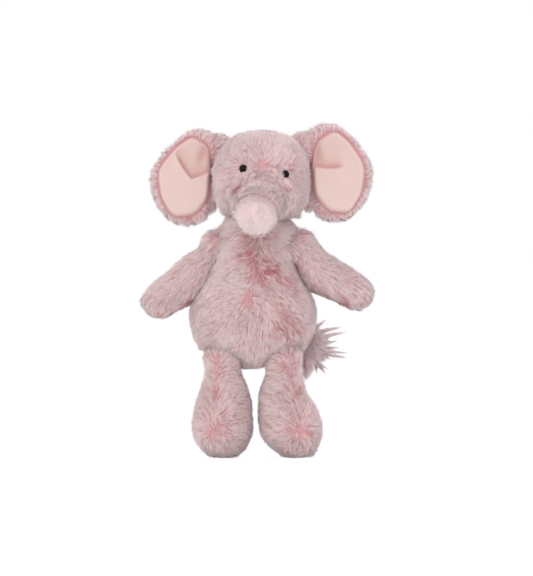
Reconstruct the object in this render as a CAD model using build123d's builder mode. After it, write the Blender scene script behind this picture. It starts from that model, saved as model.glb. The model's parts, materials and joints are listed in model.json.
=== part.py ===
"""A stuffed toy elephant: sewn fur covers over fibre filling, in millimetres.

It stands on its soles at z = 0 and faces -Y. Left and right are the viewer's, in front of it.
Every limb ends in a ball that sits in a socket of the piece that carries it, so its seam can flex.
"""

from build123d import *
import math
import os

os.makedirs("parts", exist_ok=True)

# fabric and fits
COVER = 5.0  # fur fabric with its pile pressed down
LINING = 2.0  # velvet ear lining
SEAM_GAP = 0.1  # between sewn neighbours of one body
JOINT_GAP = 0.4  # between the two sides of a joint
RELIEF = 1.2  # room round a limb where it passes the torso

# torso: height above the floor, half width and half depth of each level
TORSO_X = -5.3
TORSO_LEVELS = [
    (82, 21, 19),
    (90, 39, 34),
    (105, 53, 45),
    (130, 58.5, 50),
    (160, 50, 43),
    (190, 36.5, 33),
    (209, 27, 27),
]
POUCH_SIZE = (33, 27, 15)
POUCH_CENTRE = (TORSO_X, 4, 134)
POUCH_WALL = 1.0

# neck
NECK_CENTRE = (-1.5, 0, 220)
NECK_BALL = 28.5
NECK_CUT = 8  # where the ball's top stops, above its centre
NECK_PLUG = 14  # radius of the wad's stem
NECK_PLUG_DEPTH = 14

# head: profile of half its section, as distance from its upright axis and height above its centre
HEAD_CENTRE = (2.5, 0, 263)
HEAD_PROFILE = [(27, 36.5), (42.5, 19), (46.5, -3), (42, -25), (33, -40)]
HEAD_TOP = 42.5
HEAD_RIM = 1.5  # the rim's height over the neck's centre
GUSSET_WIDTH = 34
GUSSET_FRONT = -34  # how far forward the gusset comes
FACE_ROLL = 7.5  # degrees that the face leans towards the viewer's left

# eyes
EYE_SPACING = 38.5
EYE_HEIGHT = 3.0  # above the head's centre
EYE_SHIFT = 2.7
EYE_RADIUS = 3.9
EYE_BULGE = 3.0
SHANK_RADIUS = 1.3
SHANK_LENGTH = 11
WASHER_RADIUS = 5.5
WASHER_THICKNESS = 1.6
WASHER_DEPTH = COVER + 1.5  # under the dome
EYE_SEAT = 0.4  # the dome's back over the fabric

# trunk
TRUNK_ROOT = (2.5, -44.5, 246.5)
TRUNK_BALL = 20.5
TRUNK_NECK = 16.5  # radius where the trunk leaves its ball
TRUNK_NECK_AT = 12.0  # that place's distance from the ball's centre
TRUNK_TIP = (-2.5, -84, 226)
TRUNK_TIP_RADIUS = 19.0
END_DISC = 4.0

# ears: where the ear is hinged, the height of its middle, half its size and its reach from the hinge
EAR_HINGE_GAP = 0.4
EAR_BEAD = 4.0
EAR_BEAD_LENGTH = 46
EAR_Y = 7.0
EAR_FUR = 7.0
EAR_CUP_RADIUS = 120.0
EAR_RIM = 7.0
EARS = {
    "left": {"side": -1, "centre_z": 260.5, "half_width": 33.0, "half_height": 44.0, "reach": 52.0},
    "right": {"side": 1, "centre_z": 265.0, "half_width": 34.0, "half_height": 45.0, "reach": 52.0},
}

# arms: distance along the arm and radius, up to the rounded hand
SHOULDER_BALL = 15.5
ARM_RADII = [(0, 11.5), (28, 12.5), (50, 14.5), (72, 16)]
SEAM_LEAN = 17  # degrees that the arm's seam leans out of the upright
ARM_FORWARD = 50
ARM_BACK = 35
ARMS = {
    "left": {"side": -1, "shoulder": (-41.5, 0, 197.5), "droop": 43.5},
    "right": {"side": 1, "shoulder": (36.5, 0, 197.5), "droop": 39.5},
}

# legs: each level's height above the floor, how far forward of the hip it is, half width and half depth
HIP_HEIGHT = 92
HIP_BALL = 19.5
HIP_SPREAD = 28.5
HIP_Y = -4
LEG_LEVELS = [
    (0, 8, 20, 24),
    (12, 8.5, 27.5, 31.5),
    (32, 7, 29.5, 32),
    (55, 3, 25, 25.5),
    (76, 0, 18, 18),
    (HIP_HEIGHT, 0, 17, 17),
]
FOOT_SPLAY = {"left": 0.0, "right": 8.0}
LEG_FORWARD = 90
LEG_BACK = 30

# tail
TAIL_ROOT = (9, 50, 112)
TAIL_END = (45, 47, 101)
TAIL_BALL = 7.0
TAIL_RADIUS = 4.6
# the tuft: distance past the stem's end, half thickness and half height of each level
TUFT_LEVELS = [(0, 4.6, 5), (10, 8, 15), (24, 9, 23), (34, 7, 18), (41, 3, 8)]

SIDES = {"left": -1, "right": 1}
FAR = 400  # further than any piece reaches


pieces = []


def save(part, label):
    """Keeps a finished piece under its own name, to be written at the end."""
    part.label = label
    pieces.append(part)


def ball(centre, radius):
    """A sphere about a joint's centre."""
    with BuildPart() as form:
        with Locations(centre):
            Sphere(radius)
    return form.part


def stacked(levels, inset=0.0):
    """A smooth form through upright-stacked ellipses (z, x, y, half width, half depth)."""
    last = len(levels) - 1
    with BuildPart() as form:
        for count, (z, x, y, half_width, half_depth) in enumerate(levels):
            level = z + inset if count == 0 else z - inset if count == last else z
            with BuildSketch(Plane.XY.offset(level)):
                with Locations((x, y)):
                    Ellipse(half_width - inset, half_depth - inset)
        loft()
    return form.part


def turned(profile, plane, ends):
    """A form turned about the plane's Y, from a smooth profile that starts on that axis."""
    with BuildPart() as form:
        with BuildSketch(plane):
            with BuildLine():
                smooth = Spline(*profile, tangents=ends)
                Polyline(smooth @ 1, (0, profile[-1][1]), smooth @ 0)
            make_face()
        revolve(axis=Axis(plane.origin, plane.y_dir))
    return form.part


def cut_away(body, *tools):
    """The body without its tools."""
    with BuildPart() as form:
        add(body)
        for tool in tools:
            add(tool, mode=Mode.SUBTRACT)
    return form.part


def shared(body, *tools):
    """What the body has in common with each tool in turn."""
    with BuildPart() as form:
        add(body)
        for tool in tools:
            add(tool, mode=Mode.INTERSECT)
    return form.part


def joined(*pieces):
    """One solid made of several."""
    with BuildPart() as form:
        for piece in pieces:
            add(piece)
    return form.part


def block(low, high):
    """A box between two corners."""
    with BuildPart() as form:
        with Locations((Vector(*low) + Vector(*high)) * 0.5):
            Box(*(Vector(*high) - Vector(*low)))
    return form.part


def halves(body, plane):
    """The upper and the lower side of a body cut along a plane, each half a seam back from it."""
    sides = []
    for way in (1, -1):
        with BuildPart() as side_room:
            with BuildSketch(plane.offset(way * SEAM_GAP / 2)):
                Rectangle(2 * FAR, 2 * FAR)
            extrude(amount=way * FAR)
        sides.append(shared(body, side_room.part))
    return sides


FRONT_TO_BACK = Plane.XZ  # its upper side is the front


# ---------------------------------------------------------------- arms


def arm_plane(arm):
    """The arm's own plane: its Y runs down the arm from the shoulder."""
    droop = math.radians(arm["droop"])
    along = Vector(arm["side"] * math.cos(droop), 0, -math.sin(droop))
    return Plane(origin=arm["shoulder"], x_dir=along.cross(Vector(0, -1, 0)), z_dir=(0, -1, 0))


def arm_form(arm, inset=0.0, shoulder_ball=SHOULDER_BALL):
    """The arm's outer form with its shoulder ball, or the filling's with an inset."""
    root = shoulder_ball - inset
    neck = ARM_RADII[0][1] - inset
    leave = math.sqrt(root**2 - neck**2)
    profile = [(neck, leave), *[(radius - inset, at) for at, radius in ARM_RADII[1:]]]
    end, length = profile[-1]
    plane = arm_plane(arm)
    with BuildPart() as form:
        with BuildSketch(plane):
            with BuildLine():
                turn = math.degrees(math.atan2(leave, neck))
                shoulder = CenterArc((0, 0), root, start_angle=-90, arc_size=90 + turn)
                Spline(*profile, tangents=[(0.05, 1), (0, 1)])
                hand = CenterArc((0, length), end, start_angle=0, arc_size=90)
                Line(hand @ 1, shoulder @ 0)
            make_face()
        revolve(axis=Axis(plane.origin, plane.y_dir))
    return form.part


def seam_axis(arm):
    """The line of the arm's seam, through the shoulder."""
    lean = math.radians(SEAM_LEAN)
    return Axis(arm["shoulder"], (-arm["side"] * math.sin(lean), 0, math.cos(lean)))


def arm_room(arm):
    """The space that the arm needs as it swings past the torso."""
    fat_arm = arm_form(arm, -RELIEF, SHOULDER_BALL + JOINT_GAP - RELIEF)
    reach = ARM_FORWARD + ARM_BACK
    steps = 6
    turns = [arm["side"] * (ARM_BACK - reach * step / steps) for step in range(steps + 1)]
    return [fat_arm.rotate(seam_axis(arm), turn) for turn in turns]


for name, arm in ARMS.items():
    outer = arm_form(arm)
    filling = arm_form(arm, COVER)
    cover = cut_away(outer, filling)
    front, back = halves(cover, FRONT_TO_BACK)
    save(front, f"arm_front_{name}")
    save(back, f"arm_back_{name}")
    save(arm_form(arm, COVER + SEAM_GAP), f"arm_stuffing_{name}")


# ---------------------------------------------------------------- legs


def hip(name):
    """The centre of a hip's ball."""
    return (TORSO_X + SIDES[name] * HIP_SPREAD, HIP_Y, HIP_HEIGHT)


def leg_levels(name):
    """The leg's levels where they stand, splayed out towards the foot."""
    x, y, top = hip(name)
    splay = SIDES[name] * FOOT_SPLAY[name]
    return [(z, x + splay * (1 - z / top), y - forward, a, b) for z, forward, a, b in LEG_LEVELS]


def leg_form(name, inset=0.0):
    """The leg's outer form, or the filling's with an inset."""
    return joined(stacked(leg_levels(name), inset), ball(hip(name), HIP_BALL - inset))


def leg_room(name):
    """The space that the leg needs as it swings forward and back under the torso."""
    x, y, top = hip(name)
    levels = leg_levels(name)
    leg_side = Plane(origin=(0, y, top), x_dir=(1, 0, 0), z_dir=(0, 1, 0))
    with BuildPart() as form:
        with BuildSketch(leg_side):
            with BuildLine():
                inner = [(at - a - RELIEF, top - z) for z, at, _, a, _ in levels]
                outer = [(at + a + RELIEF, top - z) for z, at, _, a, _ in levels]
                Polyline(*inner, *reversed(outer), inner[0])
            make_face()
        revolve(axis=Axis((0, y, top), (1, 0, 0)), revolution_arc=LEG_FORWARD + LEG_BACK)
    axis = Axis((x, y, top), (1, 0, 0))
    swept = form.part.rotate(axis, -LEG_FORWARD)
    fat_leg = stacked([(z, at, mid, a + RELIEF, b + RELIEF) for z, at, mid, a, b in levels])
    angles = (-LEG_FORWARD, 0, LEG_BACK / 3, LEG_BACK * 2 / 3, LEG_BACK)
    return [swept, *(fat_leg.rotate(axis, angle) for angle in angles)]


for name, side in SIDES.items():
    splay = side * FOOT_SPLAY[name]
    seam = Plane(origin=hip(name), x_dir=(0, 1, 0), z_dir=(side * HIP_HEIGHT, 0, side * splay))
    outer_half, inner_half = halves(cut_away(leg_form(name), leg_form(name, COVER)), seam)
    save(inner_half, f"leg_inner_{name}")
    save(outer_half, f"leg_outer_{name}")
    save(leg_form(name, COVER + SEAM_GAP), f"leg_stuffing_{name}")


# ---------------------------------------------------------------- tail

tail_line = Vector(*TAIL_END) - Vector(*TAIL_ROOT)
tail_across = tail_line.cross(Vector(0, 0, 1))
tail_side = Plane(origin=TAIL_ROOT, x_dir=tail_across, z_dir=tail_across.cross(tail_line))
tail_end = Plane(origin=TAIL_END, x_dir=tail_across, z_dir=tail_line)

with BuildPart() as tail_stem:
    with BuildSketch(tail_side):
        leave = math.sqrt(TAIL_BALL**2 - TAIL_RADIUS**2)
        turn = math.degrees(math.atan2(leave, TAIL_RADIUS))
        length = tail_line.length - SEAM_GAP
        with BuildLine():
            root = CenterArc((0, 0), TAIL_BALL, start_angle=-90, arc_size=90 + turn)
            Polyline(root @ 1, (TAIL_RADIUS, length), (0, length), root @ 0)
        make_face()
    revolve(axis=Axis(TAIL_ROOT, tail_line))
save(tail_stem.part, "tail_stem")

with BuildPart() as tail_tuft:
    for distance, half_thickness, half_height in TUFT_LEVELS:
        with BuildSketch(tail_end.offset(distance)):
            Ellipse(half_thickness, half_height)
    loft()
save(tail_tuft.part, "tail_tuft")


# ---------------------------------------------------------------- trunk

trunk_line = (Vector(*TRUNK_TIP) - Vector(*TRUNK_ROOT)).normalized()
trunk_across = trunk_line.cross(Vector(0, 0, 1))
trunk_start = Vector(*TRUNK_ROOT) + trunk_line * TRUNK_NECK_AT
trunk_tip = Plane(origin=TRUNK_TIP, x_dir=(-1, 0, 0), z_dir=(0, -1, 0))


def trunk_form(inset=0.0):
    """The trunk's outer form up to its tip, or the filling's with an inset."""
    with BuildPart() as form:
        with BuildSketch(Plane(origin=trunk_start, x_dir=trunk_across, z_dir=trunk_line)):
            Circle(TRUNK_NECK - inset)
        with BuildSketch(trunk_tip):
            Circle(TRUNK_TIP_RADIUS - inset)
        loft()
        with Locations(TRUNK_ROOT):
            Sphere(TRUNK_BALL - inset)
    return form.part


disc_back = trunk_tip.offset(-END_DISC)
for body, label in (
    (cut_away(trunk_form(), trunk_form(COVER)), "trunk_cover"),
    (trunk_form(COVER + SEAM_GAP), "trunk_stuffing"),
):
    with BuildPart() as trunk_piece:
        add(body)
        split(bisect_by=disc_back.offset(-SEAM_GAP), keep=Keep.BOTTOM)
    save(trunk_piece.part, label)

with BuildPart() as trunk_end_disc:
    with BuildSketch(trunk_tip):
        Circle(TRUNK_TIP_RADIUS)
    extrude(amount=-END_DISC)
    fillet(trunk_end_disc.edges().sort_by(Axis.Y)[0], END_DISC / 2)
save(trunk_end_disc.part, "trunk_end_disc")


# ---------------------------------------------------------------- head

head_x, head_y, head_z = HEAD_CENTRE
head_plane = Plane(origin=HEAD_CENTRE, x_dir=(1, 0, 0), z_dir=(0, -1, 0))


def head_form(inset=0.0):
    """The head's outer form, or the filling's with an inset."""
    points = [(0, HEAD_TOP), *HEAD_PROFILE]
    pulled = [Vector(x, y) * (1 - inset / math.hypot(x, y)) for x, y in points]
    return turned([(p.X, p.Y) for p in pulled], head_plane, [(1, 0), (-0.5, -1)])


def head_radius(height):
    """How far the head's surface is from its upright axis, at a height above its centre."""
    side = Spline((0, HEAD_TOP), *HEAD_PROFILE, tangents=[(1, 0), (-0.5, -1)])
    low, high = 0.0, 1.0
    for _ in range(30):
        middle = (low + high) / 2
        low, high = (middle, high) if (side @ middle).Y > height else (low, middle)
    return (side @ low).X


rim = NECK_CENTRE[2] + HEAD_RIM
below_rim = block((-FAR, -FAR, -FAR), (FAR, FAR, rim))
neck_socket = ball(NECK_CENTRE, NECK_BALL + JOINT_GAP)
trunk_socket = ball(TRUNK_ROOT, TRUNK_BALL + JOINT_GAP)


def eye_plane(side):
    """A plane on the face under an eye, looking out."""
    across = EYE_SHIFT + side * EYE_SPACING / 2
    height = EYE_HEIGHT - math.tan(math.radians(FACE_ROLL)) * across
    radius = head_radius(height)
    forward = math.sqrt(radius**2 - across**2)
    outward = Vector(across, -forward, 0)
    centre = Vector(*HEAD_CENTRE) + outward * ((radius + EYE_SEAT) / radius) + Vector(0, 0, height)
    return Plane(origin=centre, x_dir=outward.cross(Vector(0, 0, 1)), z_dir=outward)


def eye(side):
    """A safety eye: its dome and its shank."""
    plane = eye_plane(side)
    dome_radius = (EYE_RADIUS**2 + EYE_BULGE**2) / (2 * EYE_BULGE)
    with BuildPart() as form:
        with Locations(plane.offset(EYE_BULGE - dome_radius).location):
            Sphere(dome_radius)
        split(bisect_by=plane, keep=Keep.TOP)
        with BuildSketch(plane):
            Circle(SHANK_RADIUS)
        extrude(amount=-SHANK_LENGTH)
    return form.part


def eye_washer(side, spare=0.0):
    """The lock washer on the shank, or the room that it needs with some to spare."""
    with BuildPart() as form:
        with BuildSketch(eye_plane(side).offset(-WASHER_DEPTH - WASHER_THICKNESS - spare)):
            Circle(WASHER_RADIUS + spare)
            if not spare:
                Circle(SHANK_RADIUS + SEAM_GAP, mode=Mode.SUBTRACT)
        extrude(amount=WASHER_THICKNESS + 2 * spare)
    return form.part


def shank_hole(side):
    """The hole that a shank passes through."""
    with BuildPart() as form:
        with BuildSketch(eye_plane(side)):
            Circle(SHANK_RADIUS + SEAM_GAP)
        extrude(amount=-SHANK_LENGTH - SEAM_GAP)
    return form.part


shank_holes = [shank_hole(side) for side in SIDES.values()]
washer_rooms = [eye_washer(side, SEAM_GAP) for side in SIDES.values()]

head_skin = cut_away(
    head_form(), head_form(COVER), neck_socket, trunk_socket, below_rim, *shank_holes
)
half_gusset = GUSSET_WIDTH / 2
gusset_room = block(
    (head_x - half_gusset - SEAM_GAP, -FAR, head_z - SEAM_GAP),
    (head_x + half_gusset + SEAM_GAP, FAR, FAR),
)
gusset = block((head_x - half_gusset, -FAR, head_z), (head_x + half_gusset, FAR, FAR))
crown = block((-FAR, GUSSET_FRONT, -FAR), (FAR, FAR, FAR))
crown_room = block((-FAR, GUSSET_FRONT - SEAM_GAP, -FAR), (FAR, FAR, FAR))
save(shared(head_skin, gusset, crown), "head_gusset")
sides_skin = cut_away(head_skin, shared(gusset_room, crown_room))
right_side, left_side = halves(sides_skin, Plane.YZ.offset(head_x))
save(left_side, "head_side_left")
save(right_side, "head_side_right")
save(
    cut_away(
        head_form(COVER + SEAM_GAP),
        neck_socket,
        trunk_socket,
        below_rim,
        *shank_holes,
        *washer_rooms,
    ),
    "head_stuffing",
)
for name, side in SIDES.items():
    save(eye(side), f"eye_{name}")
    save(eye_washer(side), f"eye_washer_{name}")


# ---------------------------------------------------------------- ears

for name, ear in EARS.items():
    side = ear["side"]
    drop = (ear["reach"] - ear["half_width"]) ** 2 / (2 * EAR_CUP_RADIUS)
    bead_y = EAR_Y + EAR_FUR / 2 - drop
    from_axis = max(distance for distance, _ in HEAD_PROFILE) + EAR_HINGE_GAP + EAR_BEAD
    hinge_x = head_x + side * math.sqrt(from_axis**2 - (bead_y - head_y) ** 2)
    centre_x = hinge_x + side * (ear["reach"] - ear["half_width"])
    flat = Plane(origin=(centre_x, EAR_Y, ear["centre_z"]), x_dir=(1, 0, 0), z_dir=(0, -1, 0))
    cup = (centre_x, EAR_Y - EAR_CUP_RADIUS, ear["centre_z"])
    edge = Plane.YZ.offset(hinge_x + side)
    outward = Keep.TOP if side > 0 else Keep.BOTTOM

    with BuildPart() as fur_blank:
        with BuildSketch(flat):
            Ellipse(ear["half_width"], ear["half_height"])
        extrude(amount=EAR_CUP_RADIUS / 2, both=True)
        split(bisect_by=edge, keep=outward)
    with BuildPart() as bead:
        with Locations((hinge_x, bead_y, ear["centre_z"])):
            Cylinder(EAR_BEAD, EAR_BEAD_LENGTH)
    fur = shared(fur_blank.part, ball(cup, EAR_CUP_RADIUS + EAR_FUR))
    save(cut_away(joined(fur, bead.part), ball(cup, EAR_CUP_RADIUS)), f"ear_back_{name}")

    with BuildPart() as lining_blank:
        with BuildSketch(flat):
            Ellipse(ear["half_width"] - EAR_RIM, ear["half_height"] - EAR_RIM)
        extrude(amount=EAR_CUP_RADIUS / 2, both=True)
        split(bisect_by=edge, keep=outward)
    lining = shared(lining_blank.part, ball(cup, EAR_CUP_RADIUS - SEAM_GAP))
    save(cut_away(lining, ball(cup, EAR_CUP_RADIUS - LINING)), f"ear_lining_{name}")


# ---------------------------------------------------------------- neck

neck_x, neck_y, neck_z = NECK_CENTRE
cut_level = neck_z + NECK_CUT
plug_foot = Plane.XY.offset(neck_z - NECK_PLUG_DEPTH)
above_cut = block((-FAR, -FAR, cut_level + JOINT_GAP / 2), (FAR, FAR, FAR))
above_dome = block((-FAR, -FAR, cut_level - JOINT_GAP / 2), (FAR, FAR, FAR))

with BuildPart() as plug_stem:
    with BuildSketch(plug_foot):
        with Locations((neck_x, neck_y)):
            Circle(NECK_PLUG)
    extrude(amount=NECK_PLUG_DEPTH + NECK_CUT + JOINT_GAP)
plug_cap = shared(ball(NECK_CENTRE, NECK_BALL), above_cut)
save(joined(plug_cap, plug_stem.part), "neck_stuffing")

with BuildPart() as plug_hole:
    with BuildSketch(plug_foot.offset(-JOINT_GAP)):
        with Locations((neck_x, neck_y)):
            Circle(NECK_PLUG + JOINT_GAP)
    extrude(amount=FAR)


# ---------------------------------------------------------------- torso


def torso_form(inset=0.0):
    """The torso's outer form with its neck ball, or the filling's with an inset."""
    levels = [(z, TORSO_X, 0, a, b) for z, a, b in TORSO_LEVELS[:-1]]
    z, a, b = TORSO_LEVELS[-1]
    levels.append((z, neck_x, neck_y, a, b))
    return joined(stacked(levels, inset), ball(NECK_CENTRE, NECK_BALL - inset))


limb_rooms = [above_dome, plug_hole.part, ball(TAIL_ROOT, TAIL_BALL + JOINT_GAP)]
for name, arm in ARMS.items():
    limb_rooms.append(ball(arm["shoulder"], SHOULDER_BALL + JOINT_GAP))
    limb_rooms.extend(arm_room(arm))
    limb_rooms.append(ball(hip(name), HIP_BALL + JOINT_GAP))
    limb_rooms.extend(leg_room(name))


def pouch_form(inset=0.0):
    """The bean pouch, a flattened round bag."""
    with BuildPart() as form:
        Sphere(1)
        scale(by=tuple(size - inset for size in POUCH_SIZE))
    return form.part.translate(POUCH_CENTRE)


torso_skin = cut_away(torso_form(), torso_form(COVER), *limb_rooms)
for half, place in zip(halves(torso_skin, FRONT_TO_BACK), ("front", "back")):
    right_panel, left_panel = halves(half, Plane.YZ.offset(TORSO_X))
    save(left_panel, f"torso_{place}_left")
    save(right_panel, f"torso_{place}_right")
save(cut_away(torso_form(COVER + SEAM_GAP), pouch_form(), *limb_rooms), "torso_stuffing")
save(cut_away(pouch_form(SEAM_GAP), pouch_form(POUCH_WALL)), "seat_bean_pouch")
save(pouch_form(POUCH_WALL + SEAM_GAP), "seat_beans")


# ---------------------------------------------------------------- origin and files

# the origin is on the floor, under the middle of the whole toy
boxes = [piece.bounding_box() for piece in pieces]
middle_x = (min(box.min.X for box in boxes) + max(box.max.X for box in boxes)) / 2
middle_y = (min(box.min.Y for box in boxes) + max(box.max.Y for box in boxes)) / 2
for piece in pieces:
    placed = Pos(-middle_x, -middle_y, 0) * piece
    placed.label = piece.label
    export_step(placed, f"parts/{placed.label}.step")
print(f"moved by {-middle_x:.3f}, {-middle_y:.3f}")
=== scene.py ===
import bmesh
import bpy
import json
import math
import numpy as np
from mathutils import Matrix, Vector
from mathutils.kdtree import KDTree


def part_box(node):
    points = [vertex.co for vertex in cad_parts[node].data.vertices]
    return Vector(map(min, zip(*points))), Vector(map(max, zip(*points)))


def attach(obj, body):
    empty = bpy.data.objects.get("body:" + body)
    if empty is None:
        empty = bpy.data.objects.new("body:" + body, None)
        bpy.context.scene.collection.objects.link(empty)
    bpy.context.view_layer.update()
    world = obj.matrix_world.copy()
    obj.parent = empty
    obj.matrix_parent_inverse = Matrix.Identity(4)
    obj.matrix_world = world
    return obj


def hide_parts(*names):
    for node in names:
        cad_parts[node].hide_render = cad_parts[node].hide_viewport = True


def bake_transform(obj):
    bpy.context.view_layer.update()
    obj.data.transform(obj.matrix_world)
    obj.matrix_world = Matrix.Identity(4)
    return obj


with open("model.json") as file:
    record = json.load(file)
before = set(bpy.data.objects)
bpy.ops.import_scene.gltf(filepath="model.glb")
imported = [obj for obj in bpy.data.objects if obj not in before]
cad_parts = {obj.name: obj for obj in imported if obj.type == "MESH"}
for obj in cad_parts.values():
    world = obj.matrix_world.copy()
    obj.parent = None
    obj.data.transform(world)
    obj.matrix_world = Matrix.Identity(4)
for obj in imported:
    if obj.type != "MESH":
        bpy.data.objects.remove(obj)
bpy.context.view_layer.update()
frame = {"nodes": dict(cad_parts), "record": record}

MM = 0.001
SEED = 417
UP = np.array([0.0, 0.0, 1.0])
DOWN = -UP
FRONT = np.array([0.0, -1.0, 0.0])
hinge = {joint["name"]: np.array(joint["pos_m"]) for joint in frame["record"]["behaviour"]["joints"]}
HAIRS_PER_PIECE = 18500
SKIN_SHADING = 3.5  # weight of the skin's normal against the hair's own
BODY_PILE = 1.5  # hairs to a square millimetre
EAR_PILE = 1.7
FINE_PILE = 2.2
ROOT_DEPTH = 0.8 * MM  # how deep a hair starts in its skin
HAIR_THICK = 0.44 * MM
HAIR_TAPER = (1.0, 0.75)


def box_of(*nodes):
    """Lowest and highest corner of several CAD nodes together."""
    low = np.min([np.array(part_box(node)[0]) for node in nodes], axis=0)
    high = np.max([np.array(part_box(node)[1]) for node in nodes], axis=0)
    return low, high


def middle_of(*nodes):
    low, high = box_of(*nodes)
    return (low + high) / 2


def mm(*values):
    """A vector given in millimetres."""
    return np.array(values, float) * MM


OFF_FLOOR = mm(-1e6, -1e6, 0.6)  # no hair comes nearer the floor than this


# ------------------------------------------------------------------ numbers


def unit(vectors):
    """Vectors at length one."""
    return vectors / np.maximum(np.linalg.norm(vectors, axis=-1, keepdims=True), 1e-9)


def rise(values, low, high):
    """0 below low, 1 above high, and a smooth rise between."""
    share = np.clip((values - low) / (high - low), 0, 1)
    return share * share * (3 - 2 * share)


def hill(distance, width):
    """A soft hill, 1 at distance 0."""
    return np.exp(-((distance / width) ** 2))


def waves(points, size, seed, count=9):
    """Soft noise of about -1 to 1, made of waves about size metres long."""
    rng = np.random.default_rng(SEED + 31 * seed)
    ways = unit(rng.normal(size=(count, 3))) * rng.uniform(0.6, 1.7, (count, 1))
    total = np.sin(points @ ways.T * (2 * math.pi / size) + rng.uniform(0, 6.3, count)).sum(axis=1)
    return total / math.sqrt(count / 2) / 1.6


def to_line(points, start, end):
    """Distance from a straight line between two places."""
    way = end - start
    share = np.clip(((points - start) @ way) / (way @ way), 0, 1)
    return np.linalg.norm(points - start - share[:, None] * way, axis=1)


# ------------------------------------------------------------------ materials


def colour(red, green, blue):
    """A colour written in screen values, as the shader wants it."""
    parts = [value / 255 for value in (red, green, blue)]
    return (*[p / 12.92 if p <= 0.04045 else ((p + 0.055) / 1.055) ** 2.4 for p in parts], 1.0)


def group_of(name, inputs, outputs):
    """An empty shader group with named sockets."""
    group = bpy.data.node_groups.new(name, "ShaderNodeTree")
    for label, kind in inputs:
        group.interface.new_socket(label, in_out="INPUT", socket_type=kind)
    for label, kind in outputs:
        group.interface.new_socket(label, in_out="OUTPUT", socket_type=kind)
    return group, group.nodes.new("NodeGroupInput"), group.nodes.new("NodeGroupOutput")


def pile_shades():
    """Hair colour up the OFBake map: a darker root, painted shade deep in the pile, to a paler tip; across it
    a tone that turns Rosy where low, for painted shade and random tone.
    """
    group, given, made = group_of(
        "Pile shades",
        [(label, "NodeSocketColor") for label in ("Root", "Shaft", "Tip", "Rosy")],
        [("Color", "NodeSocketColor")],
    )
    nodes, links = group.nodes, group.links
    chart = nodes.new("ShaderNodeUVMap")
    chart.uv_map = "OFBake"
    split = nodes.new("ShaderNodeSeparateXYZ")
    links.new(chart.outputs["UV"], split.inputs["Vector"])
    stages = []
    for low, high in ((0.0, 0.55), (0.5, 1.0), (0.45, 0.0)):
        stage = nodes.new("ShaderNodeMapRange")
        stage.interpolation_type = "SMOOTHSTEP"
        stage.inputs["From Min"].default_value = low
        stage.inputs["From Max"].default_value = high
        stages.append(stage)
    links.new(split.outputs["Y"], stages[0].inputs["Value"])
    links.new(split.outputs["Y"], stages[1].inputs["Value"])
    links.new(split.outputs["X"], stages[2].inputs["Value"])
    blends = []
    for stage in stages:
        blend = nodes.new("ShaderNodeMix")
        blend.data_type = "RGBA"
        links.new(stage.outputs["Result"], blend.inputs["Factor"])
        blends.append(blend)
    links.new(given.outputs["Root"], blends[0].inputs["A"])
    links.new(given.outputs["Shaft"], blends[0].inputs["B"])
    links.new(blends[0].outputs["Result"], blends[1].inputs["A"])
    links.new(given.outputs["Tip"], blends[1].inputs["B"])
    links.new(blends[1].outputs["Result"], blends[2].inputs["A"])
    links.new(given.outputs["Rosy"], blends[2].inputs["B"])
    links.new(blends[2].outputs["Result"], made.inputs["Color"])
    return group


def mottle():
    """Two colours in soft patches over the object."""
    group, given, made = group_of(
        "Cloth mottle",
        [("Base", "NodeSocketColor"), ("Patch", "NodeSocketColor"), ("Scale", "NodeSocketFloat")],
        [("Color", "NodeSocketColor")],
    )
    nodes, links = group.nodes, group.links
    place = nodes.new("ShaderNodeTexCoord")
    noise = nodes.new("ShaderNodeTexNoise")
    noise.inputs["Detail"].default_value = 4.0
    blend = nodes.new("ShaderNodeMix")
    blend.data_type = "RGBA"
    links.new(place.outputs["Object"], noise.inputs["Vector"])
    links.new(given.outputs["Scale"], noise.inputs["Scale"])
    links.new(noise.outputs["Fac"], blend.inputs["Factor"])
    links.new(given.outputs["Base"], blend.inputs["A"])
    links.new(given.outputs["Patch"], blend.inputs["B"])
    links.new(blend.outputs["Result"], made.inputs["Color"])
    return group


PILE_SHADES = pile_shades()
MOTTLE = mottle()


def plain(name, tint, roughness, sheen=0.0):
    """A material of one colour; its shader and tree, to build on."""
    material = bpy.data.materials.new(name)
    material.use_nodes = True
    shader = material.node_tree.nodes["Principled BSDF"]
    shader.inputs["Base Color"].default_value = tint
    shader.inputs["Roughness"].default_value = roughness
    shader.inputs["Sheen Weight"].default_value = sheen
    shader.inputs["Specular IOR Level"].default_value = 0.15
    return material, shader, material.node_tree


def hair_material(name, root, shaft, tip, rosy):
    material, shader, tree = plain(name, shaft, 0.85, sheen=0.5)
    shades = tree.nodes.new("ShaderNodeGroup")
    shades.node_tree = PILE_SHADES
    for label, tint in (("Root", root), ("Shaft", shaft), ("Tip", tip), ("Rosy", rosy)):
        shades.inputs[label].default_value = tint
    tree.links.new(shades.outputs["Color"], shader.inputs["Base Color"])
    return material


def cloth_material(name, base, patch, scale, sheen):
    material, shader, tree = plain(name, base, 0.95, sheen=sheen)
    cloth = tree.nodes.new("ShaderNodeGroup")
    cloth.node_tree = MOTTLE
    cloth.inputs["Base"].default_value = base
    cloth.inputs["Patch"].default_value = patch
    cloth.inputs["Scale"].default_value = scale
    tree.links.new(cloth.outputs["Color"], shader.inputs["Base Color"])
    return material


def shade_in_folds(material, shade):
    """Mixes a painted shade into the velvet where its mesh says that a fold lies."""
    tree = material.node_tree
    shader = tree.nodes["Principled BSDF"]
    plain_tint = shader.inputs["Base Color"].links[0].from_socket
    fold = tree.nodes.new("ShaderNodeVertexColor")
    fold.layer_name = "fold"
    blend = tree.nodes.new("ShaderNodeMix")
    blend.data_type = "RGBA"
    blend.inputs["B"].default_value = shade
    tree.links.new(fold.outputs["Color"], blend.inputs["Factor"])
    tree.links.new(plain_tint, blend.inputs["A"])
    tree.links.new(blend.outputs["Result"], shader.inputs["Base Color"])


# Each pile's root is darker than its tip, painted shade deep in the pile; rosy is the colour where tone is
# low, painted shade in creases and random tone.
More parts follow.
